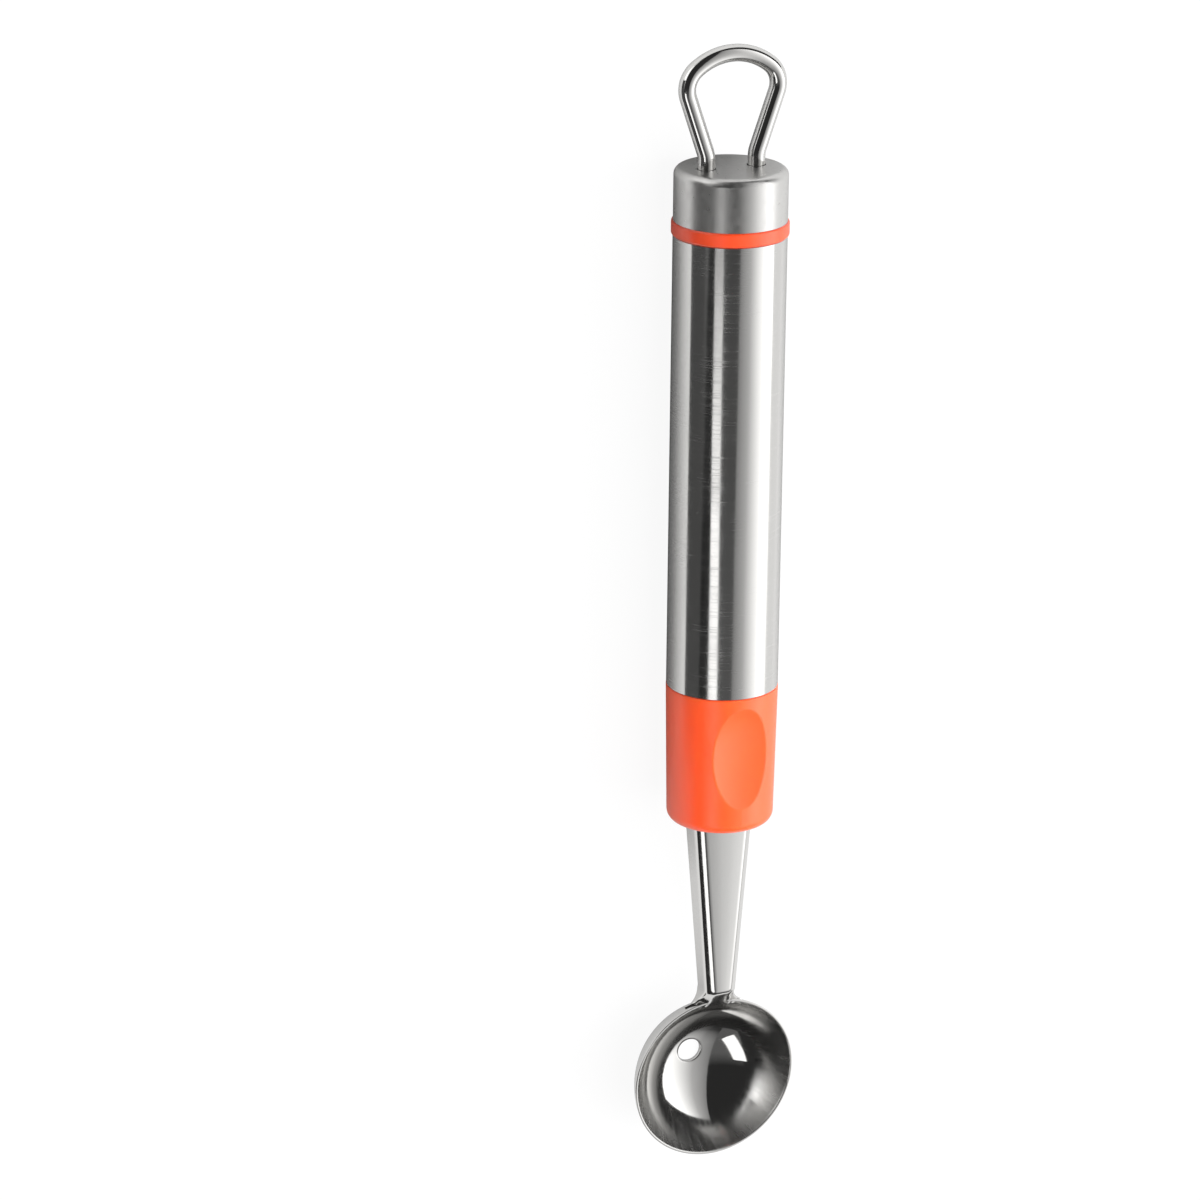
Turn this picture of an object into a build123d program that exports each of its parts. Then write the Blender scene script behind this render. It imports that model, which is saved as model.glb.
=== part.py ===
"""A melon baller: a pressed steel scoop held in a round steel handle with a hanging loop.

The handle's axis runs along X, from the hanging loop towards the bowl, and the bowl opens up, along Z.
The origin is under the middle of the whole tool, at the height of its lowest point.
Lengths are in millimetres and angles in degrees.
"""

import os
from math import asin, atan2, cos, degrees, hypot, radians, sin, sqrt

from build123d import *

os.makedirs("parts", exist_ok=True)

# Lengths along the handle, from the loop to the bowl
loop_rise = 20.5
cap_length = 8.9
ring_width = 2.4
tube_length = 78.7
sleeve_length = 24.6
neck_length = 33.9

# Handle tube
tube_radius = 9.5
tube_wall = 0.6
tube_edge_chamfer = 0.15

# Thumb sleeve
sleeve_proud = 0.05
sleeve_narrowing = 0.45
sleeve_nose_round = 1.8
sleeve_back_round = 0.2
sleeve_end_wall = 3.0
sleeve_wall = 3.3
dish_length_share = 0.74
dish_centre_share = 0.455
dish_depth = 2.0
dish_edge_round = 0.6

# Grip core, the hard moulding that joins the scoop, the sleeve and the tube
core_behind_tang = 11.6
core_lead_in = 0.8

# Pressed sheet of the scoop
sheet = 0.9
rim_radius = 15.0
bowl_depth = 12.0
bowl_pitch = 3.0
rim_land = 0.45
rim_grind_height = 1.2
rim_round = 0.12
vent_radius = 2.15

# Neck, a channel bent down along both sides
neck_height_share = 0.316
neck_width_share = 0.568
neck_sleeve_bottom = -2.3
neck_bowl_width = 5.9
neck_bowl_bottom = -1.5
neck_corner = 1.5
neck_fold_length = 2.6
neck_foot_flare = 0.55
neck_foot_bottom = -0.9
neck_foot_round = 1.1
neck_foot_cover = 0.05

# Tang, the flat tail of the sheet inside the handle
tang_in_tube = 12.4
tang_side_wall = 1.3
tang_end_round = 2.0
pin_radius = 1.25
pin_from_tang_end = 6.0
pin_end_gap = 0.55

# End cap, a drawn cup
cap_wall = 0.6
cap_top_wall = 0.8
cap_top_round = 1.25
cap_inner_round = 0.5

# End plug and its coloured ring
ring_proud = 0.3
ring_edge_round = 0.35
ring_seat_depth = 1.5
plug_depth_in_tube = 13.0
plug_skirt = 2.25
plug_pocket_depth = 7.0
plug_leg_wall = 1.35

# Hanging loop, bent from round wire
wire_radius = 1.45
loop_overhang = 0.1
loop_top_radius = 10.5
loop_side_radius = 4.2
loop_foot_radius = 4.0
loop_foot_rise = 1.5
leg_depth = 12.0
wire_end_chamfer = 0.4

# Fits
slip_gap = 0.05
slot_gap = 0.1
wire_hole_gap = 0.15
overrun = 1.0

# The bowl is a cap of a sphere, less than a hemisphere
outer_sphere_radius = (rim_radius**2 + bowl_depth**2) / (2 * bowl_depth)
inner_sphere_radius = outer_sphere_radius - sheet
sphere_rise = outer_sphere_radius - bowl_depth
rim_half_length = rim_radius * cos(radians(bowl_pitch))

# The vent leaves the very bottom of the tilted bowl open, so the lowest metal is at its edge
vent_half_angle = degrees(asin(vent_radius / outer_sphere_radius))
lowest_angle = max(vent_half_angle - bowl_pitch, 0)
axis_z = outer_sphere_radius * cos(radians(lowest_angle)) - sphere_rise * cos(radians(bowl_pitch))

# Stations along the handle's axis
handle_length = cap_length + ring_width + tube_length + sleeve_length
overall_length = loop_rise + handle_length + neck_length + 2 * rim_half_length
x_cap_top = loop_rise - overall_length / 2
x_ring = x_cap_top + cap_length
x_tube_back = x_ring + ring_width
x_tube_front = x_tube_back + tube_length
x_sleeve_front = x_tube_front + sleeve_length
x_rim_near = x_sleeve_front + neck_length
x_bowl = x_rim_near + rim_half_length
x_core_nose = x_sleeve_front - sleeve_end_wall
x_tang_end = x_tube_front - tang_in_tube

# Radii and widths that follow from the tube's
tube_bore_radius = tube_radius - tube_wall
plug_radius = tube_bore_radius - slip_gap
sleeve_back_radius = tube_radius + sleeve_proud
sleeve_front_radius = sleeve_back_radius - sleeve_narrowing
sleeve_bore_radius = tube_radius - sleeve_wall
ring_seat_radius = plug_radius - ring_seat_depth
neck_top = neck_height_share * tube_radius
neck_sleeve_width = neck_width_share * 2 * tube_radius

handle_axis = Axis((0, 0, axis_z), (1, 0, 0))
lengthwise = Plane(origin=(0, 0, axis_z), x_dir=(1, 0, 0), z_dir=(0, -1, 0))


def across(x):
    """The plane square to the handle at station x, with its own x along Y and its y along Z."""
    return Plane(origin=(x, 0, axis_z), x_dir=(0, 1, 0), z_dir=(1, 0, 0))


# Scoop: the bowl, neck and tang are pressed from one sheet of stainless steel.
# The neck is a channel, open below, whose top folds down to the rim of the bowl.
def channel_section(x, width, top, bottom, corner):
    """The outline of the neck's channel at station x, rounded at its two upper corners."""
    with BuildSketch(across(x)) as section:
        with Locations((0, top)):
            Rectangle(width, top - bottom, align=(Align.CENTER, Align.MAX))
        fillet(section.vertices().group_by(Axis.Y)[-1], corner)
    return section.sketch


# The fold's slope meets the rim in the middle of its land, and runs on into the bowl's wall
x_fold = x_rim_near - neck_fold_length
x_land = x_rim_near + rim_land / 2
x_bite = x_rim_near + sheet - neck_foot_cover
land_height = (rim_radius - rim_land / 2) * sin(radians(bowl_pitch))
fold_slope = (neck_top - land_height) / (x_land - x_fold)
neck_foot_top = land_height - fold_slope * (x_bite - x_land)
neck_foot_width = neck_bowl_width + 2 * neck_foot_flare

# The tang's edges keep inside the core's nose
tang_half_width = sqrt((sleeve_bore_radius - slip_gap - tang_side_wall) ** 2 - neck_top**2)
tang_width = 2 * tang_half_width
tang_length = x_core_nose - x_tang_end

with BuildPart() as neck_channel:
    loft(
        sections=[
            channel_section(x_core_nose, neck_sleeve_width, neck_top, neck_sleeve_bottom, neck_corner),
            channel_section(x_sleeve_front, neck_sleeve_width, neck_top, neck_sleeve_bottom, neck_corner),
            channel_section(x_fold, neck_bowl_width, neck_top, neck_bowl_bottom, neck_corner),
            channel_section(x_bite, neck_foot_width, neck_foot_top, neck_foot_bottom, neck_foot_round),
        ],
        ruled=True,
    )
    inner_corner = neck_corner - sheet
    inner_top = neck_top - sheet
    loft(
        sections=[
            channel_section(
                x_core_nose - overrun,
                neck_sleeve_width - 2 * sheet,
                inner_top,
                neck_sleeve_bottom - overrun,
                inner_corner,
            ),
            channel_section(
                x_sleeve_front,
                neck_sleeve_width - 2 * sheet,
                inner_top,
                neck_sleeve_bottom - overrun,
                inner_corner,
            ),
            channel_section(
                x_fold,
                neck_bowl_width - 2 * sheet,
                inner_top,
                neck_bowl_bottom - overrun,
                inner_corner,
            ),
            channel_section(
                x_bite,
                neck_foot_width - 2 * sheet,
                neck_foot_top - sheet,
                neck_foot_bottom - overrun,
                neck_foot_round - sheet,
            ),
        ],
        ruled=True,
        mode=Mode.SUBTRACT,
    )

bowl_section = Plane(
    origin=(x_bowl, 0, axis_z),
    x_dir=(cos(radians(bowl_pitch)), 0, -sin(radians(bowl_pitch))),
    z_dir=(0, -1, 0),
)
bowl_axis = Axis((x_bowl, 0, axis_z), (sin(radians(bowl_pitch)), 0, cos(radians(bowl_pitch))))

with BuildPart() as scoop:
    with BuildSketch(bowl_section):
        with BuildLine():
            outer_start = -degrees(asin(sphere_rise / outer_sphere_radius))
            inner_start = -degrees(asin(sphere_rise / inner_sphere_radius))
            outer_end = degrees(asin(vent_radius / outer_sphere_radius)) - 90
            inner_end = degrees(asin(vent_radius / inner_sphere_radius)) - 90
            outside = CenterArc((0, sphere_rise), outer_sphere_radius, outer_start, outer_end - outer_start)
            inside = CenterArc((0, sphere_rise), inner_sphere_radius, inner_start, inner_end - inner_start)
            Line(outside @ 0, inside @ 0)
            Line(outside @ 1, inside @ 1)
        make_face()
    revolve(axis=bowl_axis)
    rim_edges = scoop.edges().filter_by(GeomType.CIRCLE).group_by(bowl_axis)[-1]
    fillet(rim_edges.sort_by(SortBy.RADIUS)[-1], rim_round)
    add(neck_channel.part)
    with BuildSketch(bowl_section):
        land_inner = rim_radius - rim_land
        grind_inner = sqrt(inner_sphere_radius**2 - (sphere_rise + rim_grind_height) ** 2)
        with BuildLine():
            Polyline(
                (land_inner, overrun),
                (land_inner, 0),
                (grind_inner, -rim_grind_height),
                (grind_inner - overrun, -rim_grind_height),
                (grind_inner - overrun, overrun),
                close=True,
            )
        make_face()
    revolve(axis=bowl_axis, mode=Mode.SUBTRACT)
    with BuildSketch(Plane.XY.offset(axis_z + neck_top - sheet)):
        with Locations((x_tang_end, 0)):
            tang_reach = tang_length + sheet
            tang_plate = Rectangle(tang_reach, tang_width, align=(Align.MIN, Align.CENTER))
        fillet(tang_plate.vertices().group_by(Axis.X)[0], tang_end_round)
        with Locations((x_tang_end + pin_from_tang_end, 0)):
            Circle(pin_radius + slip_gap, mode=Mode.SUBTRACT)
    extrude(amount=sheet)
scoop.part.label = "scoop"
export_step(scoop.part, "parts/scoop.step")


# Thumb sleeve: a soft moulding on the front of the handle, with a dish for the thumb.
# It is hollow for the grip core, and the neck comes out through a slot of its own shape.
dish_length = dish_length_share * sleeve_length
dish_radius = ((dish_length / 2) ** 2 + dish_depth**2) / (2 * dish_depth)
dish_crown = sleeve_back_radius - dish_centre_share * sleeve_narrowing
dish_centre_z = axis_z + dish_crown - dish_depth + dish_radius

with BuildPart() as thumb_sleeve:
    with BuildSketch(lengthwise):
        with BuildLine():
            Polyline(
                (x_tube_front, 0),
                (x_tube_front, sleeve_back_radius),
                (x_sleeve_front, sleeve_front_radius),
                (x_sleeve_front, 0),
                close=True,
            )
        make_face()
    revolve(axis=handle_axis)
    end_edges = thumb_sleeve.edges().filter_by(GeomType.CIRCLE).sort_by(Axis.X)
    fillet(end_edges[-1], sleeve_nose_round)
    fillet(end_edges[0], sleeve_back_round)
    with Locations((x_tube_front + dish_centre_share * sleeve_length, 0, dish_centre_z)):
        Sphere(dish_radius, mode=Mode.SUBTRACT)
    dish_face = thumb_sleeve.faces().filter_by(GeomType.SPHERE)
    fillet(dish_face.edges(), dish_edge_round)
    with BuildSketch(across(x_tube_front)):
        Circle(sleeve_bore_radius)
    extrude(amount=sleeve_length - sleeve_end_wall, mode=Mode.SUBTRACT)
    slot_outline = channel_section(
        x_sleeve_front,
        neck_sleeve_width + 2 * slot_gap,
        neck_top + slot_gap,
        neck_sleeve_bottom - slot_gap,
        neck_corner + slot_gap,
    )
    slot_tongue = channel_section(
        x_sleeve_front,
        neck_sleeve_width - 2 * (sheet + slot_gap),
        neck_top - sheet - slot_gap,
        neck_sleeve_bottom - overrun,
        neck_corner - sheet - slot_gap,
    )
    extrude(slot_outline - slot_tongue, amount=-sleeve_end_wall, mode=Mode.SUBTRACT)
thumb_sleeve.part.label = "thumb_sleeve"
export_step(thumb_sleeve.part, "parts/thumb_sleeve.step")


# Grip core: a hard moulding, slotted for the tang. Its nose fills the sleeve and its plug the tube.
pin_x = x_tang_end + pin_from_tang_end
x_core_back = x_tang_end - core_behind_tang

with BuildPart() as grip_core:
    with BuildSketch(across(x_core_back)):
        Circle(plug_radius)
    extrude(amount=x_tube_front - x_core_back)
    chamfer(grip_core.edges().filter_by(GeomType.CIRCLE).sort_by(Axis.X)[0], core_lead_in)
    with BuildSketch(across(x_tube_front)):
        Circle(sleeve_bore_radius - slip_gap)
    extrude(amount=x_core_nose - x_tube_front)
    with BuildSketch(across(x_tang_end)):
        with Locations((0, neck_top + slot_gap)):
            Rectangle(tang_width + 2 * slot_gap, sheet + 2 * slot_gap, align=(Align.CENTER, Align.MAX))
    extrude(amount=tang_length, mode=Mode.SUBTRACT)
    with Locations((pin_x, 0, axis_z)):
        Cylinder(pin_radius + slip_gap, 2 * tube_radius, mode=Mode.SUBTRACT)
grip_core.part.label = "grip_core"
export_step(grip_core.part, "parts/grip_core.step")


# Tang pin: a short steel pin through the core and the tang, shut in by the tube around it.
pin_length = 2 * (plug_radius - pin_end_gap)

with BuildPart() as tang_pin:
    with Locations((pin_x, 0, axis_z)):
        Cylinder(pin_radius, pin_length)
    chamfer(tang_pin.edges(), pin_radius / 5)
tang_pin.part.label = "tang_pin"
export_step(tang_pin.part, "parts/tang_pin.step")


# Handle tube: thin stainless tube, cut square.
with BuildPart() as handle_tube:
    with BuildSketch(across(x_tube_back)):
        Circle(tube_radius)
        Circle(tube_bore_radius, mode=Mode.SUBTRACT)
    extrude(amount=tube_length)
    outer_face = handle_tube.faces().filter_by(GeomType.CYLINDER).sort_by(SortBy.RADIUS)[-1]
    chamfer(outer_face.edges().filter_by(GeomType.CIRCLE), tube_edge_chamfer)
handle_tube.part.label = "handle_tube"
export_step(handle_tube.part, "parts/handle_tube.step")


# End plug: a hard moulding that the tube and the cap are both pressed on.
# A groove round it holds the coloured ring, and two bores take the legs of the loop.
x_plug_back = x_cap_top + cap_top_wall
plug_length = x_tube_back + plug_depth_in_tube - x_plug_back
loop_foot_offset = ring_seat_radius - slip_gap - plug_leg_wall - wire_radius

with BuildPart() as end_plug:
    with BuildSketch(across(x_plug_back)):
        Circle(plug_radius)
    extrude(amount=plug_length)
    plug_ends = end_plug.edges().filter_by(GeomType.CIRCLE).sort_by(Axis.X)
    fillet(plug_ends[0], cap_inner_round + slot_gap)
    chamfer(plug_ends[-1], core_lead_in)
    with BuildSketch(across(x_ring)):
        Circle(plug_radius + overrun)
        Circle(ring_seat_radius, mode=Mode.SUBTRACT)
    extrude(amount=ring_width, mode=Mode.SUBTRACT)
    with BuildSketch(across(x_plug_back)):
        with Locations((loop_foot_offset, 0), (-loop_foot_offset, 0)):
            Circle(wire_radius + slip_gap)
    extrude(amount=leg_depth - cap_top_wall, mode=Mode.SUBTRACT)
    with BuildSketch(across(x_plug_back + plug_length)):
        Circle(plug_radius - plug_skirt)
    extrude(amount=-plug_pocket_depth, mode=Mode.SUBTRACT)
end_plug.part.label = "end_plug"
export_step(end_plug.part, "parts/end_plug.step")


# Accent ring: a coloured ring in the plug's groove, standing a little proud of the tube.
with BuildPart() as accent_ring:
    with BuildSketch(across(x_ring)):
        Circle(tube_radius + ring_proud)
        Circle(ring_seat_radius + slip_gap, mode=Mode.SUBTRACT)
    extrude(amount=ring_width)
    ring_face = accent_ring.faces().filter_by(GeomType.CYLINDER).sort_by(SortBy.RADIUS)[-1]
    fillet(ring_face.edges().filter_by(GeomType.CIRCLE), ring_edge_round)
accent_ring.part.label = "accent_ring"
export_step(accent_ring.part, "parts/accent_ring.step")


# End cap: a drawn steel cup over the plug, pierced for the two legs of the loop.
with BuildPart() as end_cap:
    with BuildSketch(across(x_cap_top)):
        Circle(tube_radius)
    extrude(amount=cap_length)
    fillet(end_cap.edges().filter_by(GeomType.CIRCLE).sort_by(Axis.X)[0], cap_top_round)
    with BuildSketch(across(x_cap_top + cap_top_wall)):
        Circle(tube_radius - cap_wall)
    extrude(amount=cap_length - cap_top_wall, mode=Mode.SUBTRACT)
    cup_edges = end_cap.edges().filter_by(GeomType.CIRCLE)
    cup_floor = cup_edges.filter_by(lambda edge: abs(edge.radius - tube_radius + cap_wall) < slip_gap)
    fillet(cup_floor.sort_by(Axis.X)[0], cap_inner_round)
    with BuildSketch(across(x_cap_top)):
        with Locations((loop_foot_offset, 0), (-loop_foot_offset, 0)):
            Circle(wire_radius + wire_hole_gap)
    extrude(amount=cap_top_wall, mode=Mode.SUBTRACT)
end_cap.part.label = "end_cap"
export_step(end_cap.part, "parts/end_cap.step")


# Hanging loop: round wire bent to a pear shape, its two legs pressed into the end plug.
# Seen from above, y is the distance from the middle and x falls towards the top of the loop.
# The leg is the straight line that touches the side bend and the foot bend.
loop_half_width = tube_radius + loop_overhang - wire_radius
side_spread = loop_top_radius - loop_side_radius
tangent_angle = asin((loop_half_width - loop_side_radius) / side_spread)
loop_top_x = x_cap_top - loop_rise + wire_radius
top_centre_x = loop_top_x + loop_top_radius
side_centre_x = top_centre_x - side_spread * cos(tangent_angle)
side_centre_y = side_spread * sin(tangent_angle)
foot_centre_x = x_cap_top - loop_foot_rise
foot_centre_y = loop_foot_offset + loop_foot_radius
centre_distance = hypot(foot_centre_x - side_centre_x, foot_centre_y - side_centre_y)
centre_slope = atan2(side_centre_y - foot_centre_y, foot_centre_x - side_centre_x)
slant = centre_slope + asin((loop_side_radius + loop_foot_radius) / centre_distance)
leg_top_x = side_centre_x + loop_side_radius * sin(slant)
leg_top_y = side_centre_y + loop_side_radius * cos(slant)
leg_foot_x = foot_centre_x - loop_foot_radius * sin(slant)
leg_foot_y = foot_centre_y - loop_foot_radius * cos(slant)
slant_angle = degrees(slant)
side_turn = 90 - degrees(tangent_angle) + slant_angle

with BuildPart() as hanging_loop:
    with BuildLine(Plane.XY.offset(axis_z)) as loop_path:
        Line((x_cap_top + leg_depth, loop_foot_offset), (foot_centre_x, loop_foot_offset))
        CenterArc((foot_centre_x, foot_centre_y), loop_foot_radius, -90, -slant_angle)
        Line((leg_foot_x, leg_foot_y), (leg_top_x, leg_top_y))
        CenterArc((side_centre_x, side_centre_y), loop_side_radius, 90 - slant_angle, side_turn)
        CenterArc((top_centre_x, 0), loop_top_radius, 180 - degrees(tangent_angle), degrees(tangent_angle))
        mirror(about=Plane.XZ)
    with BuildSketch(across(x_cap_top + leg_depth)):
        with Locations((loop_foot_offset, 0)):
            Circle(wire_radius)
    sweep(path=loop_path.wire())
    leg_ends = hanging_loop.edges().filter_by(GeomType.CIRCLE).group_by(Axis.X)[-1]
    chamfer(leg_ends, wire_end_chamfer)
hanging_loop.part.label = "hanging_loop"
export_step(hanging_loop.part, "parts/hanging_loop.step")
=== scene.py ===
"""The looks of a melon baller: a polished steel scoop in a brushed steel handle with orange plastic trim."""

import math

import bmesh
import bpy
from mathutils import Matrix, Vector


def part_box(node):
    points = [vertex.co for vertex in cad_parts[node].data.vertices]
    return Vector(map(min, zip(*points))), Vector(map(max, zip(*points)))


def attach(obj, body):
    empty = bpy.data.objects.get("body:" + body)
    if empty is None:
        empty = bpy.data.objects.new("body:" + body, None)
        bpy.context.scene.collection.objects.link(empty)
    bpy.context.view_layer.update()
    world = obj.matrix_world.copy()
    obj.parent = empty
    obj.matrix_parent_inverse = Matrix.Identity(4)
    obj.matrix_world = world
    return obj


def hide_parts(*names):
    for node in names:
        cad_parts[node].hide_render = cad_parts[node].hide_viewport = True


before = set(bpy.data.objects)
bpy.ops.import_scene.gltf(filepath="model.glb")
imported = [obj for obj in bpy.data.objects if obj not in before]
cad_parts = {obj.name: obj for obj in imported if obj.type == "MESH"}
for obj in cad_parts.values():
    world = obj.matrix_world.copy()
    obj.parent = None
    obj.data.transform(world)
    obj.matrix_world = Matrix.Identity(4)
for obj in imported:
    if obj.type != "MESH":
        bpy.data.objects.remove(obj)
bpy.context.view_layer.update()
scene = bpy.context.scene
scene.view_settings.view_transform = "Standard"

# Camera
# It looks down on the tool from behind the loop and a little to one side, through a long lens.
# The tool hangs in the right half of the square picture, loop up.
camera = bpy.data.objects.new("camera", bpy.data.cameras.new("camera"))
camera.location = (-0.27871, -0.33131, 0.73957)
camera.rotation_euler = [math.radians(angle) for angle in (-19.23, -22.81, 90.59)]
camera.data.lens = 150
camera.data.sensor_width = 36
camera.data.shift_x = -0.0008
scene.collection.objects.link(camera)
scene.camera = camera


# Studio floor and wall
# A sheet of matt white card, curved up at its far edge to a low wall all round.
# It is not part of the tool. It takes the tool's shadow, and the steel mirrors it.
def hex_colour(code):
    """The linear colour, with alpha, of an sRGB hex code."""
    channels = [int(code[place : place + 2], 16) / 255 for place in (0, 2, 4)]
    return [c / 12.92 if c <= 0.04045 else ((c + 0.055) / 1.055) ** 2.4 for c in channels] + [1.0]


def new_material(name):
    """An empty node material."""
    material = bpy.data.materials.new(name)
    material.use_nodes = True
    material.node_tree.nodes.clear()
    return material


def add_node(material, kind, inputs=None, **settings):
    """Adds a shader node with its settings, and fills or links its inputs."""
    added = material.node_tree.nodes.new("ShaderNode" + kind)
    for name, value in settings.items():
        setattr(added, name, value)
    for name, value in (inputs or {}).items():
        if isinstance(value, bpy.types.NodeSocket):
            material.node_tree.links.new(value, added.inputs[name])
        else:
            added.inputs[name].default_value = value
    return added


floor_radius = 3.0
cove_radius = 0.2
cove_steps = 12
wall_height = 0.35
round_steps = 96

sheet = bmesh.new()
middle = sheet.verts.new((0, 0, 0))
run_out = bmesh.ops.extrude_vert_indiv(sheet, verts=[middle])["verts"][0]
run_out.co.x = floor_radius
cove_centre = (floor_radius, 0, cove_radius)
cove = bmesh.ops.spin(
    sheet, geom=[run_out], cent=cove_centre, axis=(0, 1, 0), angle=-math.pi / 2, steps=cove_steps
)
wall_foot = [part for part in cove["geom_last"] if isinstance(part, bmesh.types.BMVert)][0]
wall_top = bmesh.ops.extrude_vert_indiv(sheet, verts=[wall_foot])["verts"][0]
wall_top.co.z = wall_height
bmesh.ops.spin(
    sheet, geom=sheet.edges[:], axis=(0, 0, 1), angle=2 * math.pi, steps=round_steps, use_merge=True
)
bmesh.ops.remove_doubles(sheet, verts=sheet.verts[:], dist=0.00001)
bmesh.ops.recalc_face_normals(sheet, faces=sheet.faces[:])
floor_mesh = bpy.data.meshes.new("white_card")
sheet.to_mesh(floor_mesh)
sheet.free()
for face in floor_mesh.polygons:
    face.use_smooth = True
floor = bpy.data.objects.new("white_card", floor_mesh)
scene.collection.objects.link(floor)

# The card glows for what looks at it, so that the eye and the steel see an even pale ground.
# Its mirror image carries a painted shade of the tool, taken from ambient occlusion: deep under the handle,
# and faint under the neck and bowl.
shade_reach = 0.05
handle_end_x = 0.02
neck_middle_x = 0.052
handle_shade = 4.8
bowl_shade = 0.7
card_glow = 0.92
card = new_material("matt_white_card")
rays = add_node(card, "LightPath")
shade = add_node(card, "AmbientOcclusion", {"Distance": shade_reach}, samples=4)
card_place = add_node(card, "TexCoord")
card_axes = add_node(card, "SeparateXYZ", {0: card_place.outputs["Object"]})
depth_range = {"Value": card_axes.outputs[0], "From Min": handle_end_x, "From Max": neck_middle_x}
depth_range.update({"To Min": handle_shade, "To Max": bowl_shade})
depth = add_node(card, "MapRange", depth_range)
# Painted shade: the glow that the steel sees is darkened near the tool, more under the handle than under the
# bowl.
painted_mirror_shade = add_node(card, "Math", {0: shade.outputs["AO"], 1: depth.outputs[0]}, operation="POWER")
mirrored = {0: rays.outputs["Is Glossy Ray"], 1: painted_mirror_shade.outputs[0]}
in_mirror = add_node(card, "Math", mirrored, operation="MULTIPLY")
seen = {0: rays.outputs["Is Camera Ray"], 1: rays.outputs["Is Transmission Ray"]}
in_sight = add_node(card, "Math", seen, operation="MAXIMUM")
looked_at = add_node(card, "Math", {0: in_sight.outputs[0], 1: in_mirror.outputs[0]}, operation="MAXIMUM")
glow_strength = add_node(card, "Math", {0: looked_at.outputs[0], 1: card_glow}, operation="MULTIPLY")
paper = add_node(card, "BsdfDiffuse", {"Color": hex_colour("4A4A4A")})
glow = add_node(card, "Emission", {"Color": hex_colour("FFFFFF"), "Strength": glow_strength.outputs[0]})
card_surface = add_node(card, "AddShader", {0: paper.outputs[0], 1: glow.outputs[0]})
add_node(card, "OutputMaterial", {"Surface": card_surface.outputs[0]})
floor_mesh.materials.append(card)

# Studio lamps
# Three soft boxes and a dim bounce card that the steel mirrors, and fill lamps that it doesn't.
# The corners of each box are bearings from the bowl: degrees from overhead, towards +Y and towards +X.
bowl_place = Vector((0.0845, 0, 0.012))


def soft_box(name, corners, distance, strength, across_curve, along_curve):
    """A glowing panel that faces the bowl. Each curve lists places across or along it with their glow."""
    box = bmesh.new()
    points = []
    for across, along in corners:
        tilt = math.radians(math.hypot(across, along))
        turn = math.atan2(across, along)
        bearing = (math.sin(tilt) * math.cos(turn), math.sin(tilt) * math.sin(turn), math.cos(tilt))
        points.append(bowl_place + distance * Vector(bearing))
    panel = box.faces.new([box.verts.new(point) for point in points])
    panel_map = box.loops.layers.uv.new("panel")
    for loop, place in zip(panel.loops, ((0, 0), (0, 1), (1, 1), (1, 0))):
        loop[panel_map].uv = place
    mesh = bpy.data.meshes.new(name)
    box.to_mesh(mesh)
    box.free()
    cloth = new_material(name)
    where = add_node(cloth, "TexCoord")
    split = add_node(cloth, "SeparateXYZ", {0: where.outputs["UV"]})
    ramps = []
    for socket, curve in ((split.outputs[0], across_curve), (split.outputs[1], along_curve)):
        ramp = add_node(cloth, "ValToRGB", {"Fac": socket})
        for place, _ in curve[1:-1]:
            ramp.color_ramp.elements.new(place)
        for element, (place, share) in zip(ramp.color_ramp.elements, curve):
            element.position = place
            element.color = (share, share, share, 1)
        ramps.append(ramp.outputs[0])
    both = add_node(cloth, "Math", {0: ramps[0], 1: ramps[1]}, operation="MULTIPLY")
    level = add_node(cloth, "Math", {0: both.outputs[0], 1: strength}, operation="MULTIPLY")
    glow = add_node(cloth, "Emission", {"Strength": level.outputs[0]})
    add_node(cloth, "OutputMaterial", {"Surface": glow.outputs[0]})
    mesh.materials.append(cloth)
    lamp = bpy.data.objects.new(name, mesh)
    lamp.visible_camera = False
    lamp.visible_shadow = False
    scene.collection.objects.link(lamp)


# The curves give each box the soft slopes of light that the steel shows
even = ((0, 1), (1, 1))
side_fade = (
    (0, 0.11), (0.15, 0.23), (0.3, 0.55), (0.45, 0.85), (0.6, 1), (0.78, 0.85), (0.92, 0.64), (1, 0.52)
)
far_fade = ((0, 1), (0.5, 1), (0.71, 0.76), (0.9, 0.13), (1, 0.07))
left_fade = ((0, 0.15), (0.1, 0.6), (0.25, 1), (1, 1))
left_ends = (
    (0, 0.35), (0.14, 0.6), (0.28, 0.9), (0.42, 1), (0.58, 0.85), (0.72, 0.35), (0.86, 0.04), (1, 0)
)
bounce_fade = ((0, 0.22), (0.3, 1), (1, 1))
soft_box("strip_box", ((-53, 15), (-28, 54), (-16, 44), (-36, 14)), 3.0, 1.7, even, even)
soft_box("side_box", ((9, -66), (-11, 62), (74, 44), (63, -8)), 1.5, 2.75, side_fade, far_fade)
soft_box("left_box", ((-20, -76), (-63, 24), (-94, 26), (-94, -76)), 1.5, 2.1, left_fade, left_ends)
soft_box("bounce_card", ((-50, 5), (-30, 62), (0, 62), (2, 5)), 4.5, 0.135, even, bounce_fade)

# Two cards stand upright beside the handle: a dark one to its left and a white one to its right
cards_start_x = -0.11
for name, end_x, side, top, level in (
    ("dark_card", 0.045, -0.06, 0.034, 0.08),
    ("reflector", 0.083, 0.1, 0.045, 1.0),
):
    flag_mesh = bpy.data.meshes.new(name)
    flag_foot = ((cards_start_x, side, 0), (end_x, side, 0))
    flag_corners = flag_foot + ((end_x, side, top), (cards_start_x, side, top))
    flag_mesh.from_pydata(flag_corners, [], [(0, 1, 2, 3)])
    flag_card = new_material(name)
    flag_glow = add_node(flag_card, "Emission", {"Color": hex_colour("FFFFFF"), "Strength": level})
    add_node(flag_card, "OutputMaterial", {"Surface": flag_glow.outputs[0]})
    flag_mesh.materials.append(flag_card)
    flag = bpy.data.objects.new(name, flag_mesh)
    flag.visible_camera = False
    flag.visible_shadow = False
    flag.visible_diffuse = False
    scene.collection.objects.link(flag)

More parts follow.
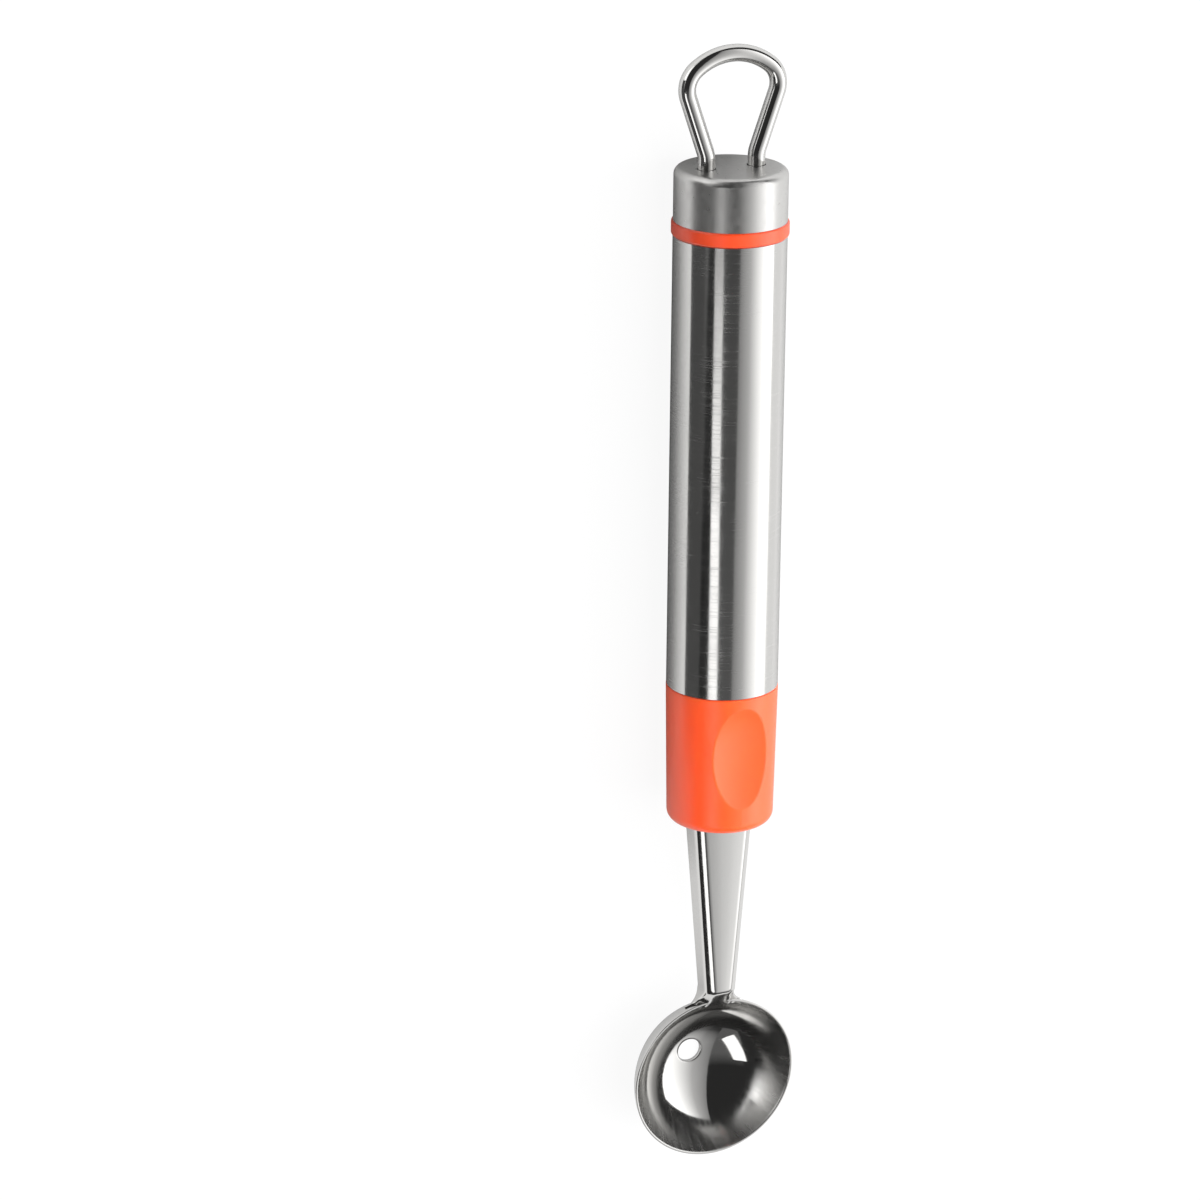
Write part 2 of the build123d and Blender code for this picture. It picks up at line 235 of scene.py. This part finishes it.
# Three broad fill lamps light the plastic, and the steel doesn't mirror them
fill_width = 1.6
for name, power, spot in (
    ("top_fill", 42, (0, 0.2, 2.0)),
    ("left_fill", 16, (0, -1.8, 0.35)),
    ("right_fill", 56, (0.1, 1.3, 1.1)),
):
    fill = bpy.data.objects.new(name, bpy.data.lights.new(name, "AREA"))
    fill.data.shape = "DISK"
    fill.data.size = fill_width
    fill.data.energy = power
    fill.location = spot
    fill.rotation_euler = Vector(spot).to_track_quat("Z", "Y").to_euler()
    fill.visible_glossy = False
    scene.collection.objects.link(fill)

room_level = 0.03
room = bpy.data.worlds.new("dark_room")
room.use_nodes = True
room_colour = room.node_tree.nodes["Background"].inputs["Color"]
room_colour.default_value = (room_level, room_level, room_level, 1)
scene.world = room


# Scoop
# One blank of stainless steel sheet, pressed to a bowl, a channel neck and a flat tang, and polished.
# The rim is ground thin from inside to a cutting edge, and a vent is punched through the bowl.
# Sizes are in millimetres, from the handle's axis.
def new_vertex(parts):
    """The one vertex among the parts that an operator made."""
    return [part for part in parts if isinstance(part, bmesh.types.BMVert)][0]


def straight(shape, vertex, place):
    """Draws a straight line from this vertex, and gives the vertex at its far end."""
    end = bmesh.ops.extrude_vert_indiv(shape, verts=[vertex])["verts"][0]
    end.co = place
    return end


def arc(shape, vertex, centre, axis, angle, steps):
    """Draws an arc from this vertex round a centre, and gives the vertex at its far end."""
    turned = bmesh.ops.spin(shape, geom=[vertex], cent=centre, axis=axis, angle=angle, steps=steps)
    return new_vertex(turned["geom_last"])


def turn_round(shape, axis, steps):
    """Spins everything drawn so far round an axis through the origin to a closed solid."""
    drawn = shape.verts[:] + shape.edges[:]
    bmesh.ops.spin(shape, geom=drawn, axis=axis, angle=2 * math.pi, steps=steps, use_merge=True)
    bmesh.ops.remove_doubles(shape, verts=shape.verts[:], dist=0.0001)


def round_over(shape, edges, offset, segments):
    """Rounds these edges over."""
    bmesh.ops.bevel(
        shape, geom=edges, offset=offset, segments=segments, profile=0.5, affect="EDGES", material=-1
    )


def finish_piece(shapes, name, node, slots, crease_angle):
    """Joins shapes to one piece in metres on the handle's axis, and puts it in the node's place."""
    whole = bmesh.new()
    for shape in shapes:
        bmesh.ops.recalc_face_normals(shape, faces=shape.faces[:])
        # A channel can come out of that inside out
        if shape.calc_volume(signed=True) < 0:
            bmesh.ops.reverse_faces(shape, faces=shape.faces[:])
        part = bpy.data.meshes.new(name)
        shape.to_mesh(part)
        shape.free()
        whole.from_mesh(part)
        bpy.data.meshes.remove(part)
    bmesh.ops.scale(whole, verts=whole.verts[:], vec=(0.001, 0.001, 0.001))
    bmesh.ops.translate(whole, verts=whole.verts[:], vec=(0, 0, axis_height))
    for face in whole.faces:
        face.smooth = True
    for edge in whole.edges:
        edge.smooth = len(edge.link_faces) == 2 and edge.calc_face_angle() < math.radians(crease_angle)
    mesh = bpy.data.meshes.new(name)
    whole.to_mesh(mesh)
    whole.free()
    piece = bpy.data.objects.new(name, mesh)
    scene.collection.objects.link(piece)
    for slot in slots:
        mesh.materials.append(slot)
    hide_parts(node)
    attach(piece, "root")
    return piece


tube_low, tube_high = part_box("handle_tube")
axis_height = (tube_low.z + tube_high.z) / 2

sheet_thickness = 0.9
bowl_pitch = math.radians(3)
bowl_centre_x = 84.5
outer_sphere = 15.375
sphere_rise = 3.375
rim_radius = 14.99
rim_land = 0.45
rim_round = 0.16
vent_radius = 2.15
vent_round = 0.15
wall_steps = 40
turn_steps = 192
inner_depth = outer_sphere - sphere_rise - sheet_thickness
inner_sphere = ((rim_radius - rim_land) ** 2 + inner_depth**2) / (2 * inner_depth)
inner_rise = inner_sphere - inner_depth

bowl = bmesh.new()
sphere_centre = (0, 0, sphere_rise)
vent_angle = math.asin(vent_radius / outer_sphere)
vent_inner_angle = math.asin(vent_radius / inner_sphere)
rim_angle = math.atan2(rim_radius, sphere_rise)
rim_inner_angle = math.atan2(rim_radius - rim_land, inner_rise)
vent_height = sphere_rise - outer_sphere * math.cos(vent_angle)
vent_inner_height = inner_rise - inner_sphere * math.cos(vent_inner_angle)
vent_edge = bowl.verts.new((vent_radius, 0, vent_height))
rim_edge = arc(bowl, vent_edge, sphere_centre, (0, 1, 0), vent_angle - rim_angle, wall_steps)
land_edge = straight(bowl, rim_edge, (rim_radius - rim_land, 0, 0))
inner_angle = rim_inner_angle - vent_inner_angle
vent_inner = arc(bowl, land_edge, (0, 0, inner_rise), (0, 1, 0), inner_angle, wall_steps)
bowl.edges.new((vent_inner, vent_edge))
turn_round(bowl, (0, 0, 1), turn_steps)


def ring(shape, radius, height):
    """The edges of the ring of this radius round Z at this height."""
    found = []
    for edge in shape.edges:
        ends = [(end.co.xy.length - radius, end.co.z - height) for end in edge.verts]
        if all(abs(out) < 0.01 and abs(up) < 0.01 for out, up in ends):
            found.append(edge)
    return found


rim_edges = ring(bowl, rim_radius, 0) + ring(bowl, rim_radius - rim_land, 0)
round_over(bowl, rim_edges, rim_round, 3)
vent_edges = ring(bowl, vent_radius, vent_height) + ring(bowl, vent_radius, vent_inner_height)
round_over(bowl, vent_edges, vent_round, 3)
bowl_tip = Matrix.Rotation(bowl_pitch, 3, "Y")
bmesh.ops.rotate(bowl, verts=bowl.verts[:], cent=(0, 0, 0), matrix=bowl_tip)
bmesh.ops.translate(bowl, verts=bowl.verts[:], vec=(bowl_centre_x, 0, 0))

# The neck is a channel with its web up. At the fold the web turns down to the rim, and the corners flare.
neck_start_x = 32.62
neck_taper_x = 35.62
neck_fold_x = 67.2
neck_start_half = 5.4
neck_fold_half = 2.93
neck_top = 3.0
neck_start_foot = -2.3
neck_foot = -1.5
neck_corner = 1.35
bend_facet = 0.7
facet_angle = math.radians(37)
bend_squash = 0.35
crown_angle = math.radians(4)
web_shares = (0.25, 0.5, 0.75, 0.93, 1)
fold_slope = 0.789
fold_reach = 0.5
flare_radius = 4.0
neck_sheet = 0.82
neck_edge_round = 0.15
wall_cover = 0.03
web_end_radius = 14.1
sphere_x = bowl_centre_x + sphere_rise * math.sin(bowl_pitch)
sphere_height = sphere_rise * math.cos(bowl_pitch)
corner_steps = 9
flange_shares = (0.07, 0.5, 0.93, 1)
foot_steps = 12


def web_height(x):
    """The height of the web's top face: level up to the fold, then down at the fold's slope."""
    past = x - neck_fold_x
    if past > fold_reach:
        return neck_top - fold_slope * past
    return neck_top - fold_slope * max(past + fold_reach, 0) ** 2 / (4 * fold_reach)


def channel_side(widening):
    """Points of half the channel's outside: how far out, how far down and how much of the web.

    The web is slightly crowned, and turns down to the flange in a bend that is flatter in its middle.
    """
    bend_width = neck_corner * (1 - math.sin(crown_angle)) + bend_facet * math.cos(facet_angle)
    flat = neck_fold_half + widening - bend_width
    drop = flat * math.tan(crown_angle) / 2
    points = [(flat * share, drop * share**2, 1) for share in web_shares]
    for step in range(1, corner_steps + 1):
        angle = crown_angle + (math.pi / 2 - crown_angle) * step / corner_steps
        out = flat + neck_corner * (math.sin(angle) - math.sin(crown_angle))
        down = drop + neck_corner * (math.cos(crown_angle) - math.cos(angle))
        if angle > facet_angle:
            out += bend_facet * math.cos(facet_angle)
            down += bend_facet * math.sin(facet_angle)
        points.append((out, down, math.cos(angle)))
    return points


def foot_point(out, down, web, share):
    """A point of the flared foot, at this share of the way from the fold to the bowl's wall."""
    height = web_height(bowl_centre_x - rim_radius) - down
    wall = math.sqrt(outer_sphere**2 - (sphere_height - height) ** 2) - wall_cover
    radius = wall + (web_end_radius - wall) * web
    flare = flare_radius * out / neck_fold_half
    swing = math.asin((out + flare) / (radius + flare))
    turn_x = sphere_x - (radius + flare) * math.cos(swing)
    before = turn_x - (neck_fold_x - fold_reach)
    travel = share * (before + flare * (math.pi / 2 - swing))
    if travel < before:
        return neck_fold_x - fold_reach + travel, out
    angle = (travel - before) / flare
    return turn_x + flare * math.sin(angle), out + flare * (1 - math.cos(angle))


def neck_station(place):
    """The points of the channel's outside at one station, from one lower edge to the other."""
    half = []
    for out, down, web in channel_side(neck_start_half - neck_fold_half if place < 0 else 0):
        if place <= 0:
            x = (neck_start_x, neck_taper_x, neck_fold_x - fold_reach)[place + 2]
            y = out
        else:
            down *= 1 - bend_squash * place / foot_steps
            x, y = foot_point(out, down, web, place / foot_steps)
        half.append(Vector((x, y, web_height(x) - down)))
    corner = half[-1]
    bend = down
    foot = neck_foot if place >= 0 else neck_start_foot
    for share in flange_shares:
        if place <= 0:
            half.append(Vector((corner.x, corner.y, corner.z + (foot - corner.z) * share)))
        else:
            end_height = web_height(bowl_centre_x - rim_radius) - bend
            down = bend + (end_height - neck_foot) * share
            x, y = foot_point(neck_fold_half, down, 0, place / foot_steps)
            half.append(Vector((x, y, corner.z + (foot - corner.z) * share)))
    mirror = Vector((1, -1, 1))
    return half[::-1] + [Vector((half[0].x, 0, half[0].z))] + [point * mirror for point in half]


neck = bmesh.new()
for place in range(-2, foot_steps + 1):
    row = [neck.verts.new(point) for point in neck_station(place)]
    for pair in zip(row, row[1:]):
        neck.edges.new(pair)
bmesh.ops.bridge_loops(neck, edges=neck.edges[:])
bmesh.ops.recalc_face_normals(neck, faces=neck.faces[:])
if max(neck.faces, key=lambda face: face.calc_center_median().z).normal.z < 0:
    bmesh.ops.reverse_faces(neck, faces=neck.faces[:])
bmesh.ops.solidify(neck, geom=neck.faces[:], thickness=neck_sheet)
foot_edges = []
for edge in neck.edges:
    low = min(face.normal.z for face in edge.link_faces) < -0.9
    if low and edge.calc_face_angle(0) > 1 and max(end.co.x for end in edge.verts) < neck_fold_x:
        foot_edges.append(edge)
round_over(neck, foot_edges, neck_edge_round, 2)

# The tang is flat, with a round end and a hole for the pin
tang_end_x = -1.38
tang_half = 3.81
tang_end_steps = 24
pin_hole_x = 4.62
pin_hole_radius = 1.3
pin_hole_steps = 32

tang = bmesh.new()
tang_corner = tang.verts.new((neck_start_x, tang_half, neck_top))
round_start = straight(tang, tang_corner, (tang_end_x + tang_half, tang_half, neck_top))
round_centre = (tang_end_x + tang_half, 0, neck_top)
round_end = arc(tang, round_start, round_centre, (0, 0, 1), math.pi, tang_end_steps)
far_corner = straight(tang, round_end, (neck_start_x, -tang_half, neck_top))
tang.edges.new((far_corner, tang_corner))
pin_place = Matrix.Translation((pin_hole_x, 0, neck_top))
bmesh.ops.create_circle(tang, segments=pin_hole_steps, radius=pin_hole_radius, matrix=pin_place)
bmesh.ops.triangle_fill(tang, use_beauty=True, edges=tang.edges[:])
pressed = bmesh.ops.extrude_face_region(tang, geom=tang.faces[:])["geom"]
lower_face = [part for part in pressed if isinstance(part, bmesh.types.BMVert)]
bmesh.ops.translate(tang, verts=lower_face, vec=(0, 0, -sheet_thickness))


def noise(material, widths, detail):
    """Unevenness of the piece, with swings of these widths in millimetres along X, Y and Z."""
    place = add_node(material, "TexCoord")
    stretch = {0: place.outputs["Object"], 1: [1000 / width for width in widths]}
    stretched = add_node(material, "VectorMath", stretch, operation="MULTIPLY")
    swings = {"Vector": stretched.outputs[0], "Scale": 1.0, "Detail": detail}
    return add_node(material, "TexNoise", swings).outputs["Fac"]


def spread(material, value, low, high):
    """Carries unevenness over to the range between these two values."""
    limits = {"Value": value, "From Min": 0.3, "From Max": 0.7, "To Min": low, "To Max": high}
    return add_node(material, "MapRange", limits).outputs[0]


def relief(material, height, strength, depth, under=None):
    """Raises the surface with this height, by this depth in millimetres, on top of the relief under it."""
    look = {"Height": height, "Strength": strength, "Distance": depth / 1000}
    if under:
        look["Normal"] = under
    return add_node(material, "Bump", look).outputs[0]


def finish_material(material, look):
    """Gives the material a surface with this look."""
    surface = add_node(material, "BsdfPrincipled", look)
    add_node(material, "OutputMaterial", {"Surface": surface.outputs[0]})
    return surface


# Bright polished stainless steel.
# It mirrors the studio, with a faint haze and wiping marks from the buffing wheel.
def polished(name, roughness, strength):
    """Polished stainless steel with this roughness, and soft unevenness of this strength."""
    steel = new_material(name)
    haze = spread(steel, noise(steel, (3.333, 3.333, 3.333), 3.0), roughness * 0.7, roughness * 1.3)
    ripple = relief(steel, noise(steel, (2.222, 2.222, 2.222), 2.0), strength, 0.02)
    look = {"Base Color": hex_colour("D4D3D1"), "Metallic": 1.0, "Roughness": haze, "Normal": ripple}
    finish_material(steel, look)
    return steel


# The bowl is buffed round and round, more coarsely towards the rim, so that bright things smear up its wall.
# The streaks run outward from its middle. The real ones are too fine to show, so they are drawn coarser.
streaks_round = 22
streak_length = 8.333
fine_reach = 10.2
rim_reach = 14
fine_roughness = 0.06
rim_roughness = 0.24
polished_steel = polished("polished_stainless_steel", 0.09, 0.35)
bowl_steel = polished("buffed_stainless_steel", 0.09, 0.3)
surface = bowl_steel.node_tree.nodes["Principled BSDF"]
place = add_node(bowl_steel, "TexCoord")
offset = {0: place.outputs["Object"], 1: (bowl_centre_x / 1000, 0, 0)}
from_centre = add_node(bowl_steel, "VectorMath", offset, operation="SUBTRACT")
flatten = {0: from_centre.outputs[0], 1: (1, 1, 0)}
level = add_node(bowl_steel, "VectorMath", flatten, operation="MULTIPLY")
reach = add_node(bowl_steel, "VectorMath", {0: level.outputs[0]}, operation="LENGTH")
split = add_node(bowl_steel, "SeparateXYZ", {0: level.outputs[0]})
angle = add_node(bowl_steel, "Math", {0: split.outputs[1], 1: split.outputs[0]}, operation="ARCTAN2")
ray_place = add_node(bowl_steel, "CombineXYZ", {0: angle.outputs[0], 1: reach.outputs["Value"]})
ray_scale = {0: ray_place.outputs[0], 1: (streaks_round, 1000 / streak_length, 1)}
ray_stretch = add_node(bowl_steel, "VectorMath", ray_scale, operation="MULTIPLY")
streak_look = {"Vector": ray_stretch.outputs[0], "Scale": 1.0, "Detail": 3.0}
streaks = add_node(bowl_steel, "TexNoise", streak_look)
coarsening = {"Value": reach.outputs["Value"], "From Min": fine_reach / 1000, "From Max": rim_reach / 1000}
coarsening.update({"To Min": fine_roughness, "To Max": rim_roughness})
coarse = add_node(bowl_steel, "MapRange", coarsening)
streaky = add_node(bowl_steel, "Math", {0: streaks.outputs["Fac"], 1: 0.5}, operation="ADD")
streaked = {0: coarse.outputs[0], 1: streaky.outputs[0]}
roughness = add_node(bowl_steel, "Math", streaked, operation="MULTIPLY")
bowl_steel.node_tree.links.new(roughness.outputs[0], surface.inputs["Roughness"])
bowl_steel.node_tree.links.new(level.outputs[0], surface.inputs["Tangent"])
surface.inputs["Anisotropic"].default_value = 0.8
scoop = finish_piece((neck, tang, bowl), "polished_scoop", "scoop", [polished_steel, bowl_steel], 35)
ball_centre = Vector((sphere_x, 0, sphere_height)) / 1000 + Vector((0, 0, axis_height))
for face in scoop.data.polygons:
    inward = ball_centre - face.center
    if inward.length < outer_sphere / 1000 and inward.normalized().dot(face.normal) > 0.9:
        face.material_index = 1

# Thumb sleeve
# A band of soft orange plastic, moulded over the handle's front end, with a shallow dish for the thumb.
# Light sinks a little way in and spreads, so that it glows, and the mould left it a fine satin grain.
# The real grain is finer than a pixel, and is drawn 0.2 mm wide.
def dress(node, material):
    """Gives the solid of this node its finished material."""
    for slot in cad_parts[node].material_slots:
        slot.material = material


def orange_satin(name, colour):
    """Soft satin plastic of this colour."""
    plastic = new_material(name)
    gloss = spread(plastic, noise(plastic, (1.4286, 1.4286, 1.4286), 3.0), 0.35, 0.4)
    grain = relief(plastic, noise(plastic, (0.2, 0.2, 0.2), 3.0), 0.12, 0.01)
    look = {"Base Color": hex_colour(colour), "Roughness": gloss, "Normal": grain}
    look.update({"Specular IOR Level": 0.85, "IOR": 1.6, "Sheen Weight": 0.1, "Sheen Roughness": 0.4})
    look.update({"Subsurface Weight": 0.4, "Subsurface Scale": 0.004})
    look["Subsurface Radius"] = (1.0, 0.3, 0.15)
    finish_material(plastic, look)
    return plastic


dress("thumb_sleeve", orange_satin("orange_satin_plastic", "FC5014"))


# Grip core
# The grey plastic core that fills the tube's front half and carries the tang. It is moulded in one piece.
# Only its end would show, dull and slightly grained.
def grey_moulded(name, colour):
    """Dull grained plastic of this colour."""
    plastic = new_material(name)
    gloss = spread(plastic, noise(plastic, (1.111, 1.111, 1.111), 3.0), 0.45, 0.6)
    grain = relief(plastic, noise(plastic, (0.4, 0.4, 0.4), 3.0), 0.4, 0.03)
    finish_material(plastic, {"Base Color": hex_colour(colour), "Roughness": gloss, "Normal": grain})
    return plastic


dress("grip_core", grey_moulded("grey_moulded_plastic", "6B6D6F"))

# Tang pin
# A plain steel pin, cut from drawn wire and pushed through the core and the tang's hole.
# The die left it dull, with fine lines along it, drawn 0.14 mm wide so that they show.
drawn_steel = new_material("plain_drawn_steel")
draw_lines = noise(drawn_steel, (0.14286, 0.14286, 6.667), 3.0)
dull = spread(drawn_steel, draw_lines, 0.28, 0.42)
drawn = relief(drawn_steel, draw_lines, 0.3, 0.01)
pin_look = {"Base Color": hex_colour("BDBCBA"), "Metallic": 1.0, "Roughness": dull, "Normal": drawn}
finish_material(drawn_steel, pin_look)
dress("tang_pin", drawn_steel)

# Handle tube
# Stainless steel tube, belt polished round and round, so that it mirrors in bands along its length.
# Handling has left it faint smears and a few fine scratches, and the drawn wall is not quite even.
# The belt's real lines are finer than a pixel, and are drawn 0.11 mm wide.
brushed_steel = new_material("belt_polished_steel")
belt_lines = noise(brushed_steel, (0.11111, 8.333, 8.333), 4.0)
smears = spread(brushed_steel, noise(brushed_steel, (9.0909, 4.1667, 4.1667), 4.0), 0.8, 1.25)
coarse_lines = {"Value": belt_lines, "From Min": 0.5, "From Max": 0.7, "To Min": 0.14, "To Max": 0.27}
line_roughness = add_node(brushed_steel, "MapRange", coarse_lines).outputs[0]
smeared = add_node(brushed_steel, "Math", {0: line_roughness, 1: smears}, operation="MULTIPLY")
wall = relief(brushed_steel, noise(brushed_steel, (28.571, 11.111, 11.111), 2.0), 1.0, 0.06)
scratch_field = noise(brushed_steel, (0.38462, 3.8462, 1.42857), 2.0)
scratch_limits = {"Value": scratch_field, "From Min": 0.69, "From Max": 0.75}
scratches = add_node(brushed_steel, "MapRange", scratch_limits).outputs[0]
scratched = relief(brushed_steel, scratches, 0.03, 0.02, wall)
lined = relief(brushed_steel, belt_lines, 0.04, 0.01, scratched)
along = add_node(brushed_steel, "CombineXYZ", {0: 1.0, 1: 0.0, 2: 0.0})
belt_look = {"Base Color": hex_colour("D2D1CF"), "Metallic": 1.0, "Roughness": smeared.outputs[0]}
belt_look.update({"Anisotropic": 0.5, "Tangent": along.outputs[0], "Normal": lined})
finish_material(brushed_steel, belt_look)
dress("handle_tube", brushed_steel)

# End plug
# The grey plastic plug pressed into the tube's rear end. It holds the cap and the loop's ends.
# It is moulded like the core, and shut inside the handle.
dress("end_plug", grey_moulded("grey_plug_plastic", "6B6D6F"))

# Accent ring
# A thin ring of the sleeve's plastic, clamped between the tube and the cap.
# It is a slightly deeper orange, with the same satin skin.
dress("accent_ring", orange_satin("deep_orange_plastic", "DC400E"))

# End cap
# A turned steel cup over the plug's rear end, with a finer satin finish than the tube.
# Blasting has given it a fine even grain, and its top still mirrors the loop softly.
# The grain is drawn 0.29 mm wide, coarser than the real one, so that it shows.
satin_steel = new_material("satin_turned_steel")
matt = spread(satin_steel, noise(satin_steel, (1.111, 1.111, 1.111), 5.0), 0.27, 0.39)
fine = relief(satin_steel, noise(satin_steel, (0.28571, 0.28571, 0.28571), 2.0), 0.15, 0.01)
cap_look = {"Base Color": hex_colour("D2D1CF"), "Metallic": 1.0, "Roughness": matt, "Normal": fine}
finish_material(satin_steel, cap_look)
dress("end_cap", satin_steel)

# Hanging loop
# Polished stainless steel wire, bent to a pear shape. Both ends go down into the plug through the cap.
# It is as bright as the neck, with the bending rollers' faint unevenness.
dress("hanging_loop", polished("polished_steel_wire", 0.1, 0.25))
